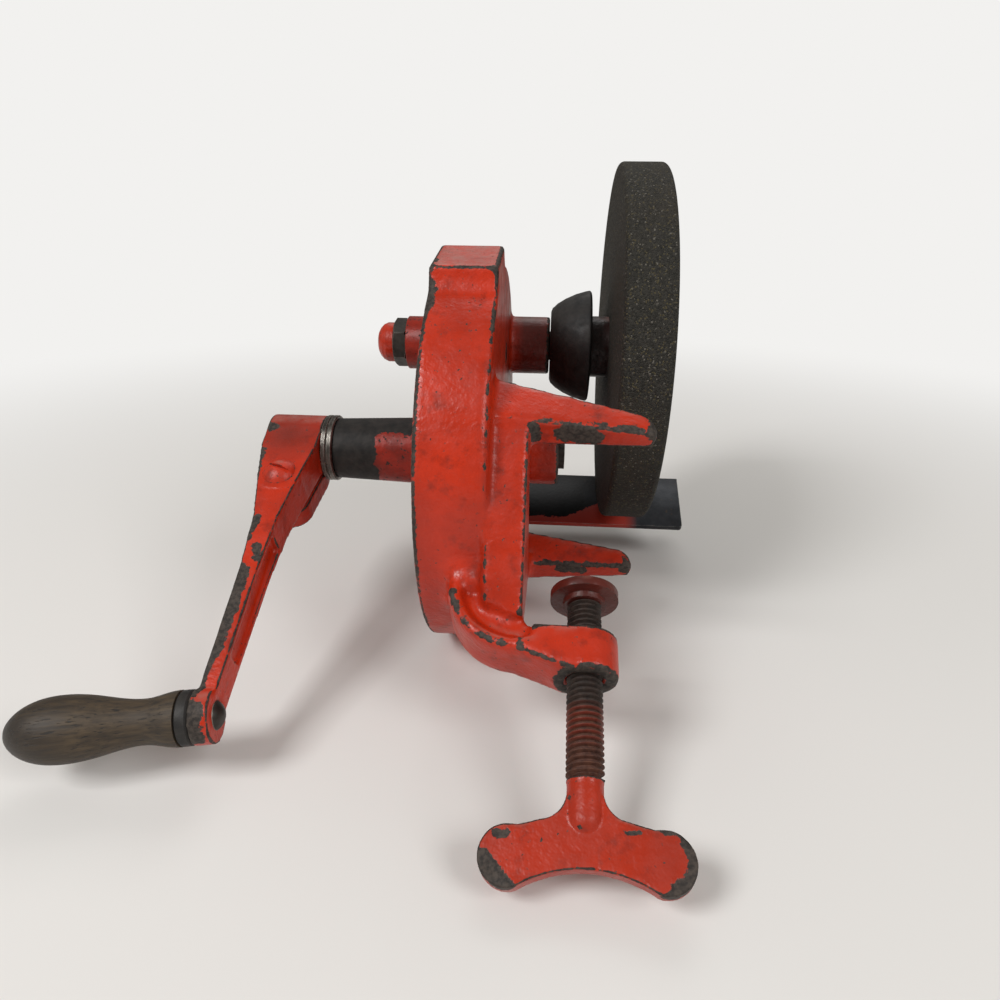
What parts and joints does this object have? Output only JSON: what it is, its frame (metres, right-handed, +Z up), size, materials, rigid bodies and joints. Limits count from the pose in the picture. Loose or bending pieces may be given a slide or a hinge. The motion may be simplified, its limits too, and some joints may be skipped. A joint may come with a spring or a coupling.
{
  "type": "hand crank bench grinder",
  "caption": "Clamp-on bench grinder turned by a hand crank, with an enclosed gear train, a grinding wheel, a tool rest and a screw clamp with a wing.",
  "frame": {"origin": "where the bench top meets the bench edge, on the centre line of the clamp: on the frame's front face, level with the undersides of the jaw fingers", "axes": "+X along the shafts towards the wheel, +Y towards the tool rest, +Z up along the clamp screw, away from its wing"},
  "size_m": [0.2296, 0.1792, 0.2999],
  "materials": {
    "red_enamel": "worn vermilion enamel on grey iron",
    "worn_sleeve": "red enamel worn to dark iron",
    "dark_iron": "blackened iron",
    "dark_steel": "dull oiled steel",
    "rusty_screw": "rusty thread with red overspray, red wing",
    "gunmetal_plate": "dark plate with red paint remnants",
    "gear_steel": "greased machined gear",
    "bronze": "oiled bronze bush",
    "lead": "cast lead arbor",
    "grit": "grey vitrified grit with light grains",
    "beech": "weathered oiled wood"
  },
  "bodies": {
    "frame": {"gear_case": "red_enamel", "side_cover": "worn_sleeve", "cover_screws": "dark_steel", "spindle_bush": "bronze", "tail_bush": "bronze", "end_plug": "red_enamel", "lock_nut": "dark_steel", "idler_stud": "dark_steel", "rest_bolts": "dark_steel", "rest_washers": "dark_steel"},
    "crank": {"crank_shaft": "dark_steel", "crank_gear": "gear_steel", "thrust_washers": "dark_steel", "crank_arm": "red_enamel", "pinch_screw": "red_enamel", "grip_pin": "dark_steel", "grip_ferrule": "dark_iron"},
    "grip": {"wooden_grip": "beech"},
    "idler": {"idler_gear": "gear_steel"},
    "spindle": {"spindle": "dark_steel", "spindle_pinion": "gear_steel", "dust_cup": "dark_iron", "wheel_collar": "red_enamel", "grinding_wheel": "grit", "wheel_bush": "lead", "outer_washer": "dark_steel", "wheel_nut": "dark_steel"},
    "pad": {"clamp_pad": "rusty_screw"},
    "screw": {"clamp_screw": "rusty_screw"},
    "rest": {"tool_rest": "gunmetal_plate"}
  },
  "joints": [
    {"name": "crank_turn", "type": "hinge", "parent": "frame", "child": "crank", "pos_m": [-0.03, 0.0105, 0.038], "axis": [1, 0, 0], "continuous": true},
    {"name": "idler_spin", "type": "hinge", "parent": "frame", "child": "idler", "pos_m": [-0.024, -0.01402, 0.07117], "axis": [1, 0, 0], "continuous": true},
    {"name": "spindle_spin", "type": "hinge", "parent": "frame", "child": "spindle", "pos_m": [0, 0.002, 0.098], "axis": [1, 0, 0], "continuous": true},
    {"name": "grip_spin", "type": "hinge", "parent": "crank", "child": "grip", "pos_m": [-0.0963, 0.0065, -0.082], "axis": [-0.9877, 0, -0.1564], "continuous": true},
    {"name": "pad_slide", "type": "slide", "parent": "frame", "child": "pad", "axis": [0, 0, 1], "range_m": [-0.0115, 0.0285]},
    {"name": "screw_turn", "type": "hinge", "parent": "pad", "child": "screw", "pos_m": [0.02, 0, -0.0675], "axis": [0, 0, 1], "range_deg": [-2290, 5665]},
    {"name": "rest_slide", "type": "slide", "parent": "frame", "child": "rest", "axis": [0, 1, 0], "range_m": [0, 0.009]}
  ],
  "couplings": [
    {"joint": "idler_spin", "follows": "crank_turn", "ratio": -4.5},
    {"joint": "spindle_spin", "follows": "crank_turn", "ratio": 14.25},
    {"joint": "screw_turn", "follows": "pad_slide", "rad_per_m": 3463.7}
  ]
}
